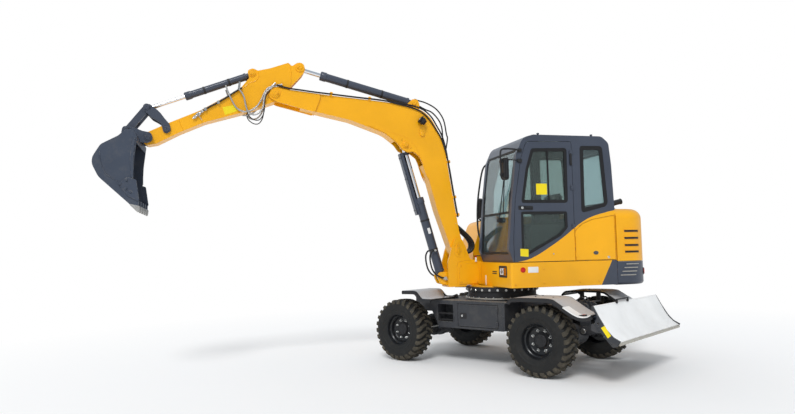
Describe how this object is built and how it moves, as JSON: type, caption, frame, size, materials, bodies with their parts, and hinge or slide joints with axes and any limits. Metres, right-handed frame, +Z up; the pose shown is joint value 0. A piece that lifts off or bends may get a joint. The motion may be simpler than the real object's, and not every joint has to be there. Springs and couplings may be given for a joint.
{
  "type": "wheeled excavator",
  "caption": "Six tonne wheeled excavator: rubber tyres, side boxes, rear dozer blade, slewing cab and tail, one-piece boom, arm and toothed bucket.",
  "frame": {"origin": "on the ground under the swing centre", "axes": "+X towards the steered front axle, +Y to the machine's left, +Z up; the upper structure and digging arm are slewed 55.77 degrees about +Z from +X"},
  "size_m": [5.4582, 6.2115, 3.9966],
  "materials": {
    "yellow_paint": "gloss",
    "grey_paint": "satin",
    "chassis_grey": "satin",
    "cab_grey": "satin",
    "fender_grey": "satin",
    "tyre": "matt",
    "rim_grey": "satin",
    "glass": "clear",
    "chrome": "polished",
    "seat_fabric": "woven",
    "interior_plastic": "grained",
    "iron": "rough",
    "lamp": "clear"
  },
  "bodies": {
    "chassis": {"chassis_frame": "chassis_grey", "side_box_left": "chassis_grey", "side_box_right": "chassis_grey", "slew_ring": "iron", "rear_axle": "chassis_grey", "front_axle": "chassis_grey", "fenders": "fender_grey"},
    "knuckle_left": {"steering_knuckle_left": "chassis_grey"},
    "knuckle_right": {"steering_knuckle_right": "chassis_grey"},
    "wheel_front_left": {"tyre_front_left": "tyre", "rim_front_left": "rim_grey"},
    "wheel_front_right": {"tyre_front_right": "tyre", "rim_front_right": "rim_grey"},
    "wheel_rear_left": {"tyre_rear_left": "tyre", "rim_rear_left": "rim_grey"},
    "wheel_rear_right": {"tyre_rear_right": "tyre", "rim_rear_right": "rim_grey"},
    "blade": {"dozer_blade": "fender_grey"},
    "blade_barrel": {"blade_cylinder_barrel": "grey_paint"},
    "blade_rod": {"blade_cylinder_rod": "chrome"},
    "locker_door": {"toolbox_door": "chassis_grey"},
    "upper": {"turntable_frame": "yellow_paint", "side_skirts": "yellow_paint", "counterweight": "grey_paint", "engine_block": "iron", "tank_cover": "yellow_paint", "centre_cover": "yellow_paint", "cab_shell": "cab_grey", "cab_glass": "glass", "seat_base": "interior_plastic", "seat_cushion": "seat_fabric", "seat_backrest": "seat_fabric", "control_consoles": "interior_plastic", "steering_column": "interior_plastic", "work_lamps": "lamp", "mirrors": "interior_plastic"},
    "door": {"cab_door": "cab_grey", "door_glass": "glass"},
    "service_panel": {"service_door": "yellow_paint"},
    "hood": {"engine_hood": "yellow_paint", "exhaust_pipe": "grey_paint"},
    "boom": {"boom": "yellow_paint"},
    "boom_barrel": {"boom_cylinder_barrel": "grey_paint"},
    "boom_rod": {"boom_cylinder_rod": "chrome"},
    "arm": {"arm": "yellow_paint"},
    "arm_barrel": {"arm_cylinder_barrel": "grey_paint"},
    "arm_rod": {"arm_cylinder_rod": "chrome"},
    "rocker": {"rocker": "grey_paint"},
    "link": {"bucket_link": "grey_paint"},
    "bucket": {"bucket": "grey_paint"},
    "bucket_barrel": {"bucket_cylinder_barrel": "grey_paint"},
    "bucket_rod": {"bucket_cylinder_rod": "chrome"}
  },
  "joints": [
    {"name": "steer", "type": "hinge", "parent": "chassis", "child": "knuckle_left", "pos_m": [1.101, 0.66, 0.4145], "axis": [0, 0, 1], "range_deg": [-30, 30]},
    {"name": "steer_right", "type": "hinge", "parent": "chassis", "child": "knuckle_right", "pos_m": [1.101, -0.66, 0.4145], "axis": [0, 0, 1], "range_deg": [-31, 31]},
    {"name": "wheel_front_left", "type": "hinge", "parent": "knuckle_left", "child": "wheel_front_left", "pos_m": [1.101, 0.7985, 0.4145], "axis": [0, 1, 0], "continuous": true},
    {"name": "wheel_front_right", "type": "hinge", "parent": "knuckle_right", "child": "wheel_front_right", "pos_m": [1.101, -0.7985, 0.4145], "axis": [0, 1, 0], "continuous": true},
    {"name": "wheel_rear_left", "type": "hinge", "parent": "chassis", "child": "wheel_rear_left", "pos_m": [-1.025, 0.7985, 0.4145], "axis": [0, 1, 0], "continuous": true},
    {"name": "wheel_rear_right", "type": "hinge", "parent": "chassis", "child": "wheel_rear_right", "pos_m": [-1.025, -0.7985, 0.4145], "axis": [0, 1, 0], "continuous": true},
    {"name": "blade_lift", "type": "hinge", "parent": "chassis", "child": "blade", "pos_m": [-1.25, 0, 0.47], "axis": [0, 1, 0], "range_deg": [-42, 3]},
    {"name": "blade_cylinder_swing", "type": "hinge", "parent": "chassis", "child": "blade_barrel", "pos_m": [-1.185, 0, 0.715], "axis": [0, 1, 0], "range_deg": [-60, 10]},
    {"name": "blade_cylinder_stroke", "type": "slide", "parent": "blade_barrel", "child": "blade_rod", "axis": [-0.9242, 0, -0.382], "range_m": [-0.03, 0.16]},
    {"name": "toolbox_door", "type": "hinge", "parent": "chassis", "child": "locker_door", "pos_m": [-0.345, 0.6678, 0.635], "axis": [0, 0, 1], "range_deg": [0, 100]},
    {"name": "slew", "type": "hinge", "parent": "chassis", "child": "upper", "pos_m": [0, 0, 0.99], "axis": [0, 0, 1], "continuous": true},
    {"name": "cab_door", "type": "hinge", "parent": "upper", "child": "door", "pos_m": [-1.12445, 0.0091, 2.08], "axis": [0, 0, -1], "range_deg": [-160, 0]},
    {"name": "service_door", "type": "hinge", "parent": "upper", "child": "service_panel", "pos_m": [-1.11706, 0.01374, 1.52], "axis": [0, 0, -1], "range_deg": [0, 95]},
    {"name": "engine_hood", "type": "hinge", "parent": "upper", "child": "hood", "pos_m": [-0.68402, -1.00537, 1.989], "axis": [-0.8268, 0.5625, 0], "range_deg": [0, 50]},
    {"name": "boom", "type": "hinge", "parent": "upper", "child": "boom", "pos_m": [0.50964, 0.36686, 1.491], "axis": [0.8268, -0.5625, 0], "range_deg": [-86, 22]},
    {"name": "boom_cylinder_swing", "type": "hinge", "parent": "upper", "child": "boom_barrel", "pos_m": [0.62777, 0.54049, 1.125], "axis": [0.8268, -0.5625, 0], "range_deg": [-85, 25]},
    {"name": "boom_cylinder_stroke", "type": "slide", "parent": "boom_barrel", "child": "boom_rod", "axis": [0.1497, 0.2201, 0.9639], "range_m": [-0.62, 0.2]},
    {"name": "arm", "type": "hinge", "parent": "boom", "child": "arm", "pos_m": [1.88833, 2.39325, 3.57322], "axis": [-0.8268, 0.5625, 0], "range_deg": [-27, 82]},
    {"name": "arm_cylinder_swing", "type": "hinge", "parent": "boom", "child": "arm_barrel", "pos_m": [0.82322, 0.82776, 3.53], "axis": [-0.8268, 0.5625, 0], "range_deg": [-8, 8]},
    {"name": "arm_cylinder_stroke", "type": "slide", "parent": "arm_barrel", "child": "arm_rod", "axis": [0.5446, 0.8004, 0.2506], "range_m": [-0.22, 0.62]},
    {"name": "bucket", "type": "hinge", "parent": "arm", "child": "bucket", "pos_m": [2.75865, 3.67245, 2.94999], "axis": [-0.8268, 0.5625, 0], "range_deg": [-88, 75]},
    {"name": "rocker_swing", "type": "hinge", "parent": "arm", "child": "rocker", "pos_m": [2.63366, 3.48874, 3.05675], "axis": [-0.8268, 0.5625, 0], "range_deg": [-75, 65]},
    {"name": "link_swing", "type": "hinge", "parent": "rocker", "child": "link", "pos_m": [2.76711, 3.68489, 3.33527], "axis": [-0.8268, 0.5625, 0], "range_deg": [-40, 45]},
    {"name": "bucket_cylinder_swing", "type": "hinge", "parent": "arm", "child": "bucket_barrel", "pos_m": [2.05153, 2.63312, 3.83045], "axis": [-0.8268, 0.5625, 0], "range_deg": [-10, 10]},
    {"name": "bucket_cylinder_stroke", "type": "slide", "parent": "bucket_barrel", "child": "bucket_rod", "axis": [0.5242, 0.7705, -0.3627], "range_m": [-0.38, 0.32]}
  ],
  "couplings": [
    {"joint": "steer_right", "follows": "steer", "ratio": 1},
    {"joint": "blade_cylinder_swing", "follows": "blade_lift", "ratio": 0.59},
    {"joint": "blade_cylinder_stroke", "follows": "blade_lift", "m_per_rad": -0.17},
    {"joint": "boom_cylinder_swing", "follows": "boom", "ratio": 0.94},
    {"joint": "boom_cylinder_stroke", "follows": "boom", "m_per_rad": 0.38},
    {"joint": "arm_cylinder_swing", "follows": "arm", "ratio": 0.01},
    {"joint": "arm_cylinder_stroke", "follows": "arm", "m_per_rad": 0.41},
    {"joint": "rocker_swing", "follows": "bucket", "ratio": 0.71},
    {"joint": "link_swing", "follows": "bucket", "ratio": -0.36},
    {"joint": "bucket_cylinder_swing", "follows": "bucket", "ratio": 0.045},
    {"joint": "bucket_cylinder_stroke", "follows": "bucket", "m_per_rad": 0.225}
  ]
}
